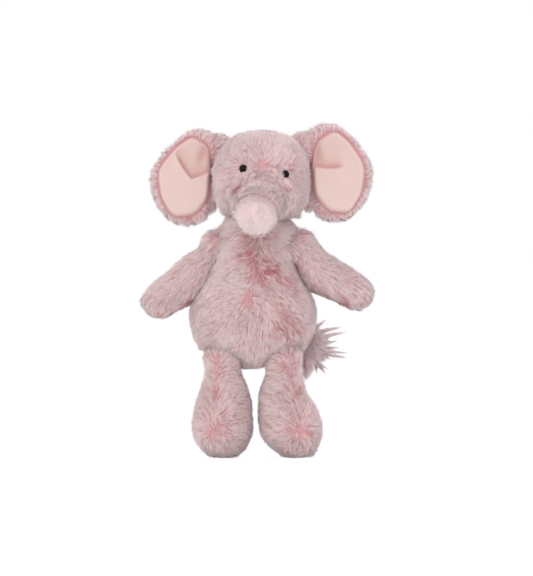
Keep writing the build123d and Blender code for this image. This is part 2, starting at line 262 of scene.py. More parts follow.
PILE = hair_material(
    "Pink pile",
    root=colour(242, 186, 190),
    shaft=colour(255, 226, 227),
    tip=colour(255, 240, 238),
    rosy=colour(212, 122, 129),
)
DISC_PILE = hair_material(
    "Trunk disc pile",
    root=colour(252, 228, 227),
    shaft=colour(255, 239, 237),
    tip=colour(255, 245, 243),
    rosy=colour(242, 202, 205),
)
TAIL_HAIR = hair_material(
    "Tail hair",
    root=colour(255, 218, 222),
    shaft=colour(255, 232, 235),
    tip=colour(255, 234, 236),
    rosy=colour(244, 202, 207),
)
# The backings are darker than their pile, painted shade at the bottom of the pile; the trunk's is paler,
# under its paler disc pile. The patches are random tone.
BACKING = cloth_material("Pile backing", colour(212, 152, 156), colour(220, 164, 168), 120, 0.1)
TRUNK_BACKING = cloth_material("Trunk pile backing", colour(240, 206, 207), colour(244, 214, 214), 120, 0.1)
VELVET = cloth_material("Ear velvet", colour(229, 203, 197), colour(223, 194, 188), 60, 0.2)
# painted shade for the folds and the pocket of the ear's velvet
shade_in_folds(VELVET, colour(202, 150, 144))
# a dark line of painted shade in the seam where the velvet meets the pile
SEAM_SHADE = plain("Ear seam shade", colour(214, 170, 166), 0.9)[0]
EYE_BLACK = plain("Black eye plastic", colour(8, 7, 8), 0.35)[0]
WASHER_CLEAR = plain("Washer plastic", colour(226, 222, 214), 0.45)[0]

# ------------------------------------------------------------------ skins


class Skin:
    """The points, normals and triangles of one fabric form, for shaping it and growing pile."""

    def __init__(self, piece):
        self.piece = piece
        self.read()

    def read(self):
        data = self.piece.data
        self.points = np.empty(len(data.vertices) * 3)
        data.vertices.foreach_get("co", self.points)
        self.points = self.points.reshape(-1, 3)
        data.calc_loop_triangles()
        self.triangles = np.empty(len(data.loop_triangles) * 3, int)
        data.loop_triangles.foreach_get("vertices", self.triangles)
        self.triangles = self.triangles.reshape(-1, 3)
        a, b, c = (self.points[self.triangles[:, k]] for k in range(3))
        cross = np.cross(b - a, c - a)
        self.areas = 0.5 * np.linalg.norm(cross, axis=1)
        self.normals = np.zeros_like(self.points)
        for k in range(3):
            np.add.at(self.normals, self.triangles[:, k], cross)
        self.normals = unit(self.normals)

    def place(self, points):
        """Moves the points."""
        self.piece.data.vertices.foreach_set("co", points.astype(np.float32).ravel())
        self.piece.data.update()
        self.read()

    def push(self, heights):
        """Moves each point out along its normal."""
        self.place(self.points + self.normals * heights[:, None])


def linked(name, data, *materials):
    """A new object in the scene."""
    for material in materials:
        data.materials.append(material)
    piece = bpy.data.objects.new(name, data)
    bpy.context.scene.collection.objects.link(piece)
    return piece


def baked(piece):
    """Applies the piece's modifiers to its mesh."""
    graph = bpy.context.evaluated_depsgraph_get()
    data = bpy.data.meshes.new_from_object(piece.evaluated_get(graph))
    piece.modifiers.clear()
    piece.data = data
    data.polygons.foreach_set("use_smooth", np.ones(len(data.polygons), bool))
    return piece


def outer_shell(data):
    """Keeps the largest joined part of a mesh and drops any hollow inside it."""
    shape = bmesh.new()
    shape.from_mesh(data)
    left, islands = set(shape.verts), []
    while left:
        edge, found = [left.pop()], []
        while edge:
            vertex = edge.pop()
            found.append(vertex)
            for joined in vertex.link_edges:
                other = joined.other_vert(vertex)
                if other in left:
                    left.discard(other)
                    edge.append(other)
        islands.append(found)
    largest = max(islands, key=len)
    for island in islands:
        if island is not largest:
            bmesh.ops.delete(shape, geom=island, context="VERTS")
    shape.to_mesh(data)
    shape.free()


def cased(name, nodes, voxel, inset, fillings=()):
    """One skin round several CAD nodes and oval fillings, set in to leave room for the pile."""
    shape = bmesh.new()
    for node in nodes:
        shape.from_mesh(frame["nodes"][node].data)
    for middle, radii in fillings:
        oval = Matrix.Translation(middle) @ Matrix.Diagonal((*(radius * MM for radius in radii), 1))
        bmesh.ops.create_icosphere(shape, subdivisions=4, radius=1, matrix=oval)
    data = bpy.data.meshes.new(name)
    shape.to_mesh(data)
    shape.free()
    piece = linked(name, data)
    remesh = piece.modifiers.new("Remesh", "REMESH")
    remesh.mode = "VOXEL"
    remesh.voxel_size = voxel
    baked(piece)
    outer_shell(piece.data)
    soften = piece.modifiers.new("Soften", "SMOOTH")
    soften.factor = 0.5
    soften.iterations = 4
    baked(piece)
    piece.data.materials.clear()
    piece.data.materials.append(BACKING)
    skin = Skin(piece)
    skin.push(np.full(len(skin.points), -inset))
    return skin


SWELL_FRAMES = 20


def blown_up(skins, cap):
    """Blows the skins up as cloth under pressure; no point moves further than cap."""
    scene = bpy.context.scene
    for skin in skins:
        cloth = skin.piece.modifiers.new("Cloth", "CLOTH")
        cloth.settings.quality = 4
        cloth.settings.use_pressure = True
        cloth.settings.uniform_pressure_force = 4
        cloth.settings.effector_weights.gravity = 0
        cloth.point_cache.frame_start = 1
        cloth.point_cache.frame_end = SWELL_FRAMES
    for number in range(1, SWELL_FRAMES + 1):
        scene.frame_set(number)
    graph = bpy.context.evaluated_depsgraph_get()
    swollen = []
    for skin in skins:
        data = skin.piece.evaluated_get(graph).data
        points = np.empty(len(data.vertices) * 3)
        data.vertices.foreach_get("co", points)
        swollen.append(points.reshape(-1, 3))
    for skin, points in zip(skins, swollen):
        skin.piece.modifiers.clear()
        move = points - skin.points
        far = np.linalg.norm(move, axis=1, keepdims=True)
        skin.place(skin.points + move * np.minimum(1, cap / np.maximum(far, 1e-9)))
    scene.frame_set(1)


def subdivided(skin):
    """One subdivision, after the simulation."""
    skin.piece.modifiers.new("Smooth", "SUBSURF").levels = 1
    baked(skin.piece)
    skin.read()


# ------------------------------------------------------------------ pile


class Pile:
    """Roots of the hairs on a skin, and how each one lies."""

    def __init__(self, skin, per_mm2, seed, keep=None):
        rng = np.random.default_rng(SEED + seed)
        count = int(skin.areas.sum() / MM**2 * per_mm2)
        pick = rng.choice(len(skin.areas), count, p=skin.areas / skin.areas.sum())
        u, v = rng.random((2, count))
        over = u + v > 1
        u, v = np.where(over, 1 - u, u), np.where(over, 1 - v, v)
        corners = skin.triangles[pick]
        weights = np.stack([1 - u - v, u, v], axis=1)[:, :, None]
        self.root = (skin.points[corners] * weights).sum(axis=1)
        self.normal = unit((skin.normals[corners] * weights).sum(axis=1))
        if keep is not None:
            chosen = keep(self.root, self.normal)
            self.root, self.normal = self.root[chosen], self.normal[chosen]
        self.rng = rng
        self.count = len(self.root)
        self.lie = np.tile(DOWN, (self.count, 1))
        self.lift = np.full(self.count, 0.5)
        self.length = np.full(self.count, 9.0 * MM)
        self.tone = np.full(self.count, 0.6)

    def locks(self, mess=0.26, clump=0.45, per_lock=16):
        """Each hair's root, middle and tip, drawn together into locks, and its tone."""
        rng, count = self.rng, self.count
        swirl = np.stack([waves(self.root, 22 * MM, seed) for seed in (1, 2, 3)], axis=1)
        lie = unit(self.lie) + mess * swirl + mess * 0.55 * rng.normal(size=(count, 3))
        lie = unit(lie - self.normal * (lie * self.normal).sum(axis=1, keepdims=True))
        lift = np.clip(self.lift + rng.normal(0, 0.1, count), 0.1, 1.3)[:, None]
        length = (self.length * rng.uniform(0.7, 1.1, count))[:, None]
        middle = self.root + unit(self.normal * (lift + 0.2) + lie * (1 - 0.6 * lift)) * length * 0.5
        tip = middle + unit(self.normal * (lift - 0.25) + lie) * length * 0.5
        leaders = rng.choice(count, max(1, count // per_lock), replace=False)
        tree = KDTree(len(leaders))
        for order, leader in enumerate(leaders):
            tree.insert(self.root[leader], order)
        tree.balance()
        nearest = leaders[[tree.find(root)[1] for root in self.root]]
        pull = clump * rng.uniform(0.4, 1.1, count)[:, None]
        tip = tip + (tip[nearest] - tip) * pull
        middle = middle + (middle[nearest] - middle) * pull * 0.3
        tone = self.tone + 0.36 * (rng.random(count)[nearest] - 0.5) + rng.normal(0, 0.1, count)
        return [self.root - self.normal * ROOT_DEPTH, middle, tip], np.clip(tone, 0.03, 0.97)


def hair_mesh(name, lines, thick, tone, material, taper, facing):
    """Closed, three-sided tapering hairs along rows of points, shaded partly as the skin faces."""
    count, rings = len(tone), len(lines) - 1
    along = unit(lines[-1] - lines[0])
    side = unit(np.cross(along, along[:, [1, 2, 0]] + np.array([0.31, 0.52, 0.79])))
    other = np.cross(along, side)
    per_hair = rings * 3 + 1
    points = np.empty((count, per_hair, 3))
    normals = np.empty((count, per_hair, 3))
    for ring in range(rings):
        for corner in range(3):
            turn = 2 * math.pi * corner / 3
            spoke = side * math.cos(turn) + other * math.sin(turn)
            points[:, ring * 3 + corner] = lines[ring] + spoke * (thick * taper[ring] / 2)[:, None]
            normals[:, ring * 3 + corner] = spoke
    points[:, -1] = lines[-1]
    normals[:, -1] = along
    towards = (normals * facing[:, None]).sum(axis=2)
    normals = unit(normals + facing[:, None] * (SKIN_SHADING * (towards > -0.35))[:, :, None])
    faces = [(2, 1, 0)]
    for ring in range(rings - 1):
        for corner in range(3):
            a, b = ring * 3 + corner, ring * 3 + (corner + 1) % 3
            faces.append((a, b, b + 3, a + 3))
    last = (rings - 1) * 3
    for corner in range(3):
        faces.append((last + corner, last + (corner + 1) % 3, per_hair - 1))
    flat = np.concatenate([np.array(face) for face in faces])
    loops = (np.arange(count)[:, None] * per_hair + flat[None, :]).ravel()
    sizes = np.tile([len(face) for face in faces], count)
    data = bpy.data.meshes.new(name)
    data.vertices.add(count * per_hair)
    data.vertices.foreach_set("co", points.astype(np.float32).ravel())
    data.loops.add(len(loops))
    data.loops.foreach_set("vertex_index", loops.astype(np.int32))
    data.polygons.add(len(sizes))
    starts = np.concatenate([[0], np.cumsum(sizes)[:-1]])
    data.polygons.foreach_set("loop_start", starts.astype(np.int32))
    data.update(calc_edges=True)
    data.polygons.foreach_set("use_smooth", np.ones(len(sizes), bool))
    across = np.zeros(per_hair)
    upward = np.ones(per_hair)
    for ring in range(rings):
        for corner in range(3):
            across[ring * 3 + corner] = (corner - 1) * 0.012
            upward[ring * 3 + corner] = ring / rings + 0.03 * (corner == 1)
    u = np.clip(tone[:, None] + across[None, flat], 0.005, 0.995)
    v = np.tile(upward[flat], (count, 1))
    chart = data.uv_layers.new(name="OFBake")
    chart.data.foreach_set("uv", np.stack([u, v], axis=2).astype(np.float32).ravel())
    data.normals_split_custom_set_from_vertices(normals.reshape(-1, 3).astype(np.float32))
    return linked(name, data, material)


def grown(name, pile, body, material=PILE, slot="pile_fabric", bend=None, **style):
    """Turns a pile into hair pieces that ride a body; given a bend, they are left unattached with their
    transform baked.
    """
    lines, tone = pile.locks(**style)
    order = np.argsort(pile.root[:, 2] + 0.3 * pile.root[:, 0])
    parts = max(1, math.ceil(pile.count / HAIRS_PER_PIECE))
    width = pile.rng.uniform(0.75, 1.2, pile.count) * HAIR_THICK
    for number, chosen in enumerate(np.array_split(order, parts), 1):
        rows = [np.maximum(line[chosen], OFF_FLOOR) for line in lines]
        label = f"{name}_{number}"
        piece = hair_mesh(label, rows, width[chosen], tone[chosen], material, HAIR_TAPER, pile.normal[chosen])
        held(piece, body, bend)


def held(piece, body, bend=None):
    """The piece rides the body; given a bend (other body, start, end), it rides nothing and its transform is
    baked into its mesh; the bend's parts are not used.
    """
    if bend:
        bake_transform(piece)
    else:
        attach(piece, body)


def settled(skin, body, fill, *nodes, bend=None):
    """Finishes a skin: hides the nodes that it stands for, and it goes with the body as held says."""
    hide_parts(*nodes)
    held(skin.piece, body, bend)


# ------------------------------------------------------------------ the stuffed forms

TORSO_NODES = [
    *(f"torso_{side}" for side in ("front_left", "front_right", "back_left", "back_right")),
    "torso_stuffing",
    "seat_bean_pouch",
    "seat_beans",
]
HEAD_NODES = ["head_side_left", "head_side_right", "head_gusset", "head_stuffing"]
TRUNK_NODES = ["trunk_cover", "trunk_end_disc", "trunk_stuffing"]
SIDES = {"left": -1, "right": 1}

# how far each skin lies inside its CAD form, which leaves room for the pile
PILE_ROOM = 4.2 * MM
ARM_ROOM = 3.0 * MM
TRUNK_ROOM = 2.0 * MM
EAR_ROOM = 1.6 * MM
TAIL_ROOM = 1.5 * MM
NECK_ROOM = 1.0 * MM

BODY_VOXEL = 4 * MM
TAIL_VOXEL = 2.5 * MM
EAR_VOXEL = 2 * MM
SWELL_CAP = 3 * MM

EAR_LOBES = {"left": (2, 0, 25), "right": (-6, 0, 23)}
LOW_LOBES = {"left": (1, 0, -24), "right": (-5, 0, -27)}
MID_LOBES = {"left": (3, 0, -12), "right": (-4, 0, -7)}

# fillings: (middle, half sizes in mm)
SHOULDER_SIZE = (13, 16, 18)
shoulders = [(hinge[f"arm_{side}_swing"] - mm(way * 9, 0, 1), SHOULDER_SIZE) for side, way in SIDES.items()]
hips = (hinge["leg_left_swing"] + hinge["leg_right_swing"]) / 2
neck_filling = (hinge["neck_turn"] + mm(0, 0, -9), (38, 30, 18))
torso_fillings = [(hips + mm(0, 4, 38), (57, 48.5, 46)), neck_filling, *shoulders]
torso = cased("torso_skin", TORSO_NODES, BODY_VOXEL, PILE_ROOM, torso_fillings)
neck = cased("neck_skin", ["neck_stuffing"], BODY_VOXEL, NECK_ROOM)
head_fillings = [
    (hinge["trunk_lift"] + mm(0, 6, 0), (26, 20, 24)),
    (hinge["neck_nod"] + mm(2, 0, 17), (30, 28, 15)),
]
head = cased("head_skin", HEAD_NODES, BODY_VOXEL, PILE_ROOM, head_fillings)
trunk_fillings = [
    (hinge["trunk_lift"] + mm(0, -8, -5), (24, 15, 18)),
    (hinge["trunk_lift"] + mm(-1, -21, -10), (21, 14, 18)),
]
trunk = cased("trunk_skin", TRUNK_NODES, BODY_VOXEL, TRUNK_ROOM, trunk_fillings)
arms, legs, ears = {}, {}, {}
for side in SIDES:
    arm_nodes = [f"arm_front_{side}", f"arm_back_{side}", f"arm_stuffing_{side}"]
    leg_nodes = [f"leg_inner_{side}", f"leg_outer_{side}", f"leg_stuffing_{side}"]
    arms[side] = cased(f"arm_skin_{side}", arm_nodes, BODY_VOXEL, ARM_ROOM)
    legs[side] = cased(f"leg_skin_{side}", leg_nodes, BODY_VOXEL, PILE_ROOM)
    lobe = hinge[f"ear_{side}_flap"] + mm(*EAR_LOBES[side])
    low_lobe = hinge[f"ear_{side}_flap"] + mm(*LOW_LOBES[side])
    mid_lobe = hinge[f"ear_{side}_flap"] + mm(*MID_LOBES[side])
    ears[side] = cased(
        f"ear_skin_{side}",
        [f"ear_back_{side}", f"ear_lining_{side}"],
        EAR_VOXEL,
        EAR_ROOM,
        [(lobe, (15, 6, 15)), (low_lobe, (7, 4.5, 9)), (mid_lobe, (8, 5, 14))],
    )
tail_end = hinge["tail_swing"] + mm(36, -3, -11)
tuft_fillings = [(tail_end + mm(5, 0, 1), (7, 7, 13)), (tail_end + mm(-1, 0, -17), (4.5, 5, 13))]
tail = cased("tail_skin", ["tail_stem"], TAIL_VOXEL, TAIL_ROOM, tuft_fillings)

stuffed = [torso, head, trunk, *arms.values(), *legs.values()]
blown_up(stuffed, SWELL_CAP)
for skin in stuffed:
    subdivided(skin)

# ------------------------------------------------------------------ places on the form

belly = hinge["neck_turn"] + mm(-8.4, -13, -71.5)
parting_top = hinge["neck_turn"] + mm(-0.5, -30, -6)
parting_low = hinge["neck_turn"] + mm(1.2, -48, -42)
eyes = {side: middle_of(f"eye_{side}") for side in SIDES}
bridge = (eyes["left"] + eyes["right"]) / 2 + mm(-1.5, -2, -3)
trunk_tip = middle_of("trunk_end_disc")
trunk_way = unit(trunk_tip - hinge["trunk_lift"])
whorls = {side: hinge[f"leg_{side}_swing"] + mm(*place) for side, place in
          {"left": (-8.6, -33, -65), "right": (16.0, -33, -65)}.items()}

# ------------------------------------------------------------------ torso

x, y, z = (torso.points - hinge["neck_turn"]).T / MM
front = rise(-torso.normals[:, 1], 0.0, 0.5)
groove = -2.4 * hill(x - 1.0, 3.0) * rise(z, -46, -38) * front
groove += -0.8 * hill(x + 4.5, 2.2) * rise(-z, 88, 100) * front
flanks = 2.6 * rise(np.abs(torso.normals[:, 0]), 0.3, 0.9) * hill(z + 75, 20)
torso.push((groove + flanks + 0.9 * waves(torso.points, 60 * MM, 5)) * MM)
settled(torso, "torso", 0.8, *TORSO_NODES)

pile = Pile(torso, BODY_PILE, 1)
x, y, z = (pile.root - hinge["neck_turn"]).T / MM
front = rise(-pile.normal[:, 1], -0.2, 0.5)
sideways = np.tanh((x - 1.0) / (7.0 + 34.0 * rise(-z, 44, 58)))
falling = -0.55 - 0.5 * rise(-z, 75, 120)
lie = np.stack([sideways * (0.6 + 0.6 * front), 0.5 * (1 - front), falling], axis=1)
from_belly = pile.root - belly
whorl = np.linalg.norm(from_belly[:, [0, 2]], axis=1)
around = hill(whorl, 17 * MM) * front
pile.lie = lie + unit(from_belly * [1, 0, 1]) * around[:, None] * 0.9
parted = hill(to_line(pile.root, parting_top, parting_low), 5.5 * MM)
chest = hill(to_line(pile.root, parting_top, parting_low), 17 * MM)
# Darker tone here is painted shade: along the parting, on the chest under the head, on the belly's right and
# beside the chest on the left; the waves are random tone.
dark = 0.35 * parted + 0.5 * chest + 0.24 * hill(x - 16, 18) * hill(z + 58, 24) * front
dark += 0.28 * hill(x - 24, 18) * hill(z + 85, 32) * front + 0.3 * hill(x + 14, 15) * hill(z + 30, 10) * front
dark += 0.12 * waves(pile.root, 34 * MM, 7)
pile.tone = 0.68 - dark
pile.lift = 0.4 - 0.1 * parted + 0.1 * waves(pile.root, 40 * MM, 8) + 0.12 * hill(whorl, 4 * MM) * front
pile.length *= 1 - 0.25 * parted
grown("torso_pile", pile, "torso")

settled(neck, "neck", 0.9, "neck_stuffing")

# ------------------------------------------------------------------ head

x, y, z = (head.points - hinge["trunk_lift"]).T / MM
mound = 8.0 * hill(np.hypot(x, 0.85 * (z + 2)), 25.0) * rise(-head.normals[:, 1], 0.0, 0.5)
cheeks = 3.0 * rise(np.abs(head.normals[:, 0]), 0.3, 0.9) * hill(z + 11, 17)
head.push((mound + cheeks) * MM)
settled(head, "head", 0.85, *HEAD_NODES)


def clear_of_eyes(root, normal):
    """Hair roots that aren't under an eye."""
    far = [np.linalg.norm((root - eyes[side])[:, [0, 2]], axis=1) for side in SIDES]
    return ((far[0] > 2.6 * MM) & (far[1] > 1.6 * MM)) | (normal[:, 1] > 0)


pile = Pile(head, BODY_PILE, 2, clear_of_eyes)
outward = pile.root - bridge
behind = rise(pile.normal[:, 1], -0.1, 0.6)[:, None]
pile.lie = unit(outward * [1.0, 0.6, 1.0]) * (1 - behind) + DOWN * behind
near_eye = np.zeros(pile.count)
for side in SIDES:
    gap = (pile.root - eyes[side]) * [1, 0, 1]
    close = hill(np.linalg.norm(gap, axis=1), 6.5 * MM) * (pile.normal[:, 1] < 0)
    near_eye = np.maximum(near_eye, close)
    pile.lie = pile.lie + unit(gap) * close[:, None] * (1.3 if side == "left" else 1.05)
x, y, z = outward.T / MM
from_trunk = pile.root - hinge["trunk_lift"] + mm(0, 0, 4)
muzzle = hill(np.linalg.norm(from_trunk[:, [0, 2]], axis=1), 25 * MM) * (pile.normal[:, 1] < 0.2)
pile.lie = pile.lie + trunk_way * muzzle[:, None] * 1.2
front = rise(-pile.normal[:, 1], 0.1, 0.6)
fan = np.degrees(np.arctan2(np.abs(x), -z))
fore = rise(-pile.normal[:, 1], -0.25, 0.15)
far = np.hypot(x, z)
streak = hill(fan - np.where(x < 0, 58, 40), 30) * rise(far, 1, 5) * (1 - rise(far, 24, 34)) * fore
spokes = np.sin(np.radians(fan * 24) + 1.2 * waves(pile.root, 16 * MM, 19))
streak = streak * (0.3 + 0.7 * rise(spokes, -0.2, 0.6))
centre = hill(x, 5.0) * hill(z + 6, 9.0) * front
pile.tone = 0.64 - 0.6 * streak - 0.34 * centre - 0.2 * near_eye + 0.1 * waves(pile.root, 30 * MM, 9)
pile.lift = 0.38 - 0.08 * near_eye - 0.1 * streak + 0.1 * hill(np.hypot(x, z), 4.0) * front
pile.length *= 1 - 0.3 * near_eye - 0.1 * centre - 0.3 * muzzle
grown("head_pile", pile, "head")

for side in SIDES:
    eye, washer = frame["nodes"][f"eye_{side}"], frame["nodes"][f"eye_washer_{side}"]
    for node, material in ((eye, EYE_BLACK), (washer, WASHER_CLEAR)):
        node.data.materials.clear()
        node.data.materials.append(material)

# ------------------------------------------------------------------ trunk

trunk_bend = ("head", hinge["trunk_lift"] + trunk_way * 2 * MM, hinge["trunk_lift"] + trunk_way * 24 * MM)
reach = (trunk.points - trunk_tip) @ trunk_way
from_axis = trunk.points - trunk_tip - trunk_way * reach[:, None]
widen = 0.22 * rise(reach, -16 * MM, -4 * MM)
trunk.place(trunk.points + from_axis * widen[:, None])
trunk.piece.data.materials[0] = TRUNK_BACKING
settled(trunk, "trunk", 0.85, *TRUNK_NODES, bend=trunk_bend)
pile = Pile(trunk, FINE_PILE, 3)
from_tip = pile.root - trunk_tip
ahead = (pile.normal * trunk_way).sum(axis=1)
disc = rise(ahead, 0.72, 0.9)
flat = from_tip - trunk_way * (from_tip @ trunk_way)[:, None] + mm(3.0, 0, -2.5)
spin = np.cross(unit(flat), trunk_way)
pile.lie = trunk_way * (1 - disc)[:, None] + (unit(flat) + 0.25 * spin) * disc[:, None]
near_tip = rise(from_tip @ trunk_way, -14 * MM, -2 * MM)
pile.length = (8.0 - 3.2 * near_tip - 1.0 * disc) * MM
whorl = hill(np.linalg.norm(flat, axis=1), 4.5 * MM) * disc
pile.tone = 0.66 + 0.14 * disc - 0.12 * whorl + 0.08 * waves(pile.root, 20 * MM, 11)
pile.lift = 0.34 - 0.1 * near_tip + 0.06 * whorl
on_disc = disc > 0.5
kept = {name: getattr(pile, name) for name in ("root", "normal", "lie", "lift", "length", "tone")}
for name, chosen, material in (("trunk_pile", ~on_disc, PILE), ("trunk_disc_pile", on_disc, DISC_PILE)):
    for field, values in kept.items():
        setattr(pile, field, values[chosen])
    pile.count = int(chosen.sum())
    grown(name, pile, "trunk", material=material, per_lock=10, bend=trunk_bend)

# ------------------------------------------------------------------ arms

ARM_RISE = {"left": -2.6, "right": 1.6}
ARM_UNDER = {"left": 13.5, "right": 13.0}
ARM_TOP = {"left": -2.5, "right": 2.5}
for side, way in SIDES.items():
    skin, shoulder = arms[side], hinge[f"arm_{side}_swing"]
    low, high = box_of(f"arm_front_{side}", f"arm_back_{side}")
    hand = np.array([low[0] if way < 0 else high[0], shoulder[1], low[2]]) - mm(way * 14, 0, -14)
    along = unit(hand - shoulder)
    across = np.cross(along, FRONT) * way
    across = across * np.sign(-across[2])
    reach = (skin.points - shoulder) @ along / MM
    below = rise(skin.normals @ across, 0.0, 0.9)
    above = rise(-skin.normals @ across, 0.2, 0.9)
    fuller = ARM_UNDER[side] * hill(reach - 34, 29) * below + ARM_TOP[side] * hill(reach - 8, 14) * above
    skin.push(fuller * MM)
    skin.place(skin.points + mm(0, 0, ARM_RISE[side]) * rise(reach, 20, 60)[:, None])
    settled(skin, f"arm_{side}", 0.85, f"arm_front_{side}", f"arm_back_{side}", f"arm_stuffing_{side}")
    pile = Pile(skin, BODY_PILE, 4 + way)
    pile.lie = along + 0.4 * across * np.tanh((pile.root - shoulder) @ across / (9 * MM))[:, None]
    under = rise(-pile.normal[:, 2], 0.0, 0.8)
    inner = rise(-pile.normal[:, 0] * way, 0.1, 0.9)
    reach = (pile.root - shoulder) @ along
    # Painted shade: the pile darker on the arm's underside and inner side; the waves are random tone.
    pile.tone = 0.68 - 0.34 * under - 0.22 * inner + 0.1 * waves(pile.root, 26 * MM, 13 + way)
    pile.tone = pile.tone + 0.1 * rise(reach, 60 * MM, 85 * MM)
    pile.lift = 0.36 + 0.08 * waves(pile.root, 30 * MM, 15)
    grown(f"arm_pile_{side}", pile, f"arm_{side}")

# ------------------------------------------------------------------ legs

LEG_OUTER = {"left": 0.0, "right": 2.4}
FOOT_TURN = {"left": 1.0, "right": 7.0}
for side, way in SIDES.items():
    skin, whorl = legs[side], whorls[side]
    x, y, z = (skin.points - whorl).T / MM
    front = rise(-skin.normals[:, 1], 0.1, 0.6)
    dimple = -1.8 * hill(np.hypot(x, z), 6.0) - 1.0 * hill(x, 2.5) * rise(z, -2, 6) * rise(-z, -60, -45)
    inside = rise(-skin.normals[:, 0] * way, 0.3, 0.9)
    outside = rise(skin.normals[:, 0] * way, 0.3, 0.9)
    thigh = 8.0 * rise(z, 34, 60) * rise(-skin.normals[:, 1], 0.0, 0.4)
    slim = 3.2 * inside * hill(z - 36, 20)
    calf = outside * LEG_OUTER[side] * (hill(z - 2, 16) - hill(z - 34, 9))
    swell = ((dimple * front + slim + calf) * MM)[:, None]
    skin.place(skin.points + skin.normals * swell + FRONT * thigh[:, None] * MM)
    foot = (skin.points[skin.points[:, 2] < 30 * MM]).mean(axis=0)
    low_part = (1 - np.clip(skin.points[:, 2] / (26 * MM), 0, 1)) ** 1.7
    shaped = skin.points.copy()
    shaped[:, :2] -= (skin.points - foot)[:, :2] * 0.42 * low_part[:, None]
    shaped[:, 0] += FOOT_TURN[side] * MM * low_part
    skin.place(shaped)
    settled(skin, f"leg_{side}", 0.9, f"leg_inner_{side}", f"leg_outer_{side}", f"leg_stuffing_{side}")
    pile = Pile(skin, BODY_PILE, 8 + way)
    x, y, z = (pile.root - whorl).T / MM
    front = rise(-pile.normal[:, 1], 0.0, 0.6)
    spread = np.stack([x, 0.6 * y + 0 * x, np.where(z > 0, 0.3 * z, z)], axis=1)
    behind = rise(pile.normal[:, 1], -0.1, 0.6)[:, None]
    pile.lie = (unit(spread) + DOWN * (0.45 * rise(z, 8, 40))[:, None]) * (1 - behind) + DOWN * behind
    core = hill(np.hypot(x, z), 3.6) * front
    shin = hill(x + way * 3.0, 1.8) * rise(z, 18, 26) * (1 - rise(z, 36, 44)) * front
    outer = rise(pile.normal[:, 0] * way, 0.3, 0.9)
    pile.tone = 0.58 + 0.18 * rise(-z, -22, 8) - 0.25 * core - 0.35 * shin
    pile.tone = pile.tone + 0.1 * waves(pile.root, 30 * MM, 17 + way)
    # Painted light and shade: the leg's outer side lighter, its inner side darker.
    pile.tone = pile.tone + 0.12 * outer - 0.12 * rise(-pile.normal[:, 0] * way, 0.3, 0.9)
    pile.lift = 0.38 + 0.1 * core
    pile.length *= 1 - 0.3 * core - 0.2 * shin
    grown(f"leg_pile_{side}", pile, f"leg_{side}")

# ------------------------------------------------------------------ ears

DISH_RADIUS = 118 * MM
EAR_LEAN = {"left": 9.0, "right": 5.0}
EAR_TRIM = {"left": 4.5, "right": 4.5}


def leaned(points, side, way, middle, back=1):
    """Leans an ear's upper part towards the head and rounds its upper outer corner; back=-1 undoes it."""
    out, up = (points[..., 0] - middle[0]) * way, points[..., 2] - middle[2]
    lean = -way * EAR_LEAN[side] * MM * rise(up, 4 * MM, 44 * MM)
    trim = EAR_TRIM[side] * MM * rise(out + up, 18 * MM, 62 * MM) * hill(out - up, 45 * MM)
    move = lean[..., None] * np.array([1.0, 0, 0]) - trim[..., None] * np.array([way, 0, 1]) * 0.7
    return points + back * move


def lining_folds(side, x, z):
    """How far the lining stands forward, in metres, and its painted shade, at places in mm from its middle.
    """
    if side == "left":
        line = np.where(x < 8, -1.0 - 1.25 * (x - 8), -1.0 + 0.35 * (x - 8))
        reach = rise(x, -16, -4)
        pocket = hill(np.hypot(x - 15, (z - 22) * 0.45), 5.0)
    else:
        line = 5.0 + 0.10 * np.sin(x / 6.0) * 8
        reach = 1 - rise(x, -4, 6)
        pocket = hill(np.hypot(x + 20, (z - 19) * 0.5), 5.0)
    above = z - line
    upper = 2.6 * (1 - np.exp(-np.maximum(above, 0) / 9.0))
    lower = 2.6 + 3.4 * np.exp(np.minimum(above, 0) / 11.0)
    step = lower + (upper - lower) * rise(above, -1.6, 0.8)
    depth = (2.6 + (step - 2.6) * reach - 2.3 * pocket) * MM
    # painted shade just above the crease and in the pocket
    shade = reach * rise(above, -1.2, 0.6) * (0.75 * np.exp(-np.maximum(above, 0) / 5.0) + 0.1) + 0.6 * pocket
    return depth, np.clip(shade, 0, 1)


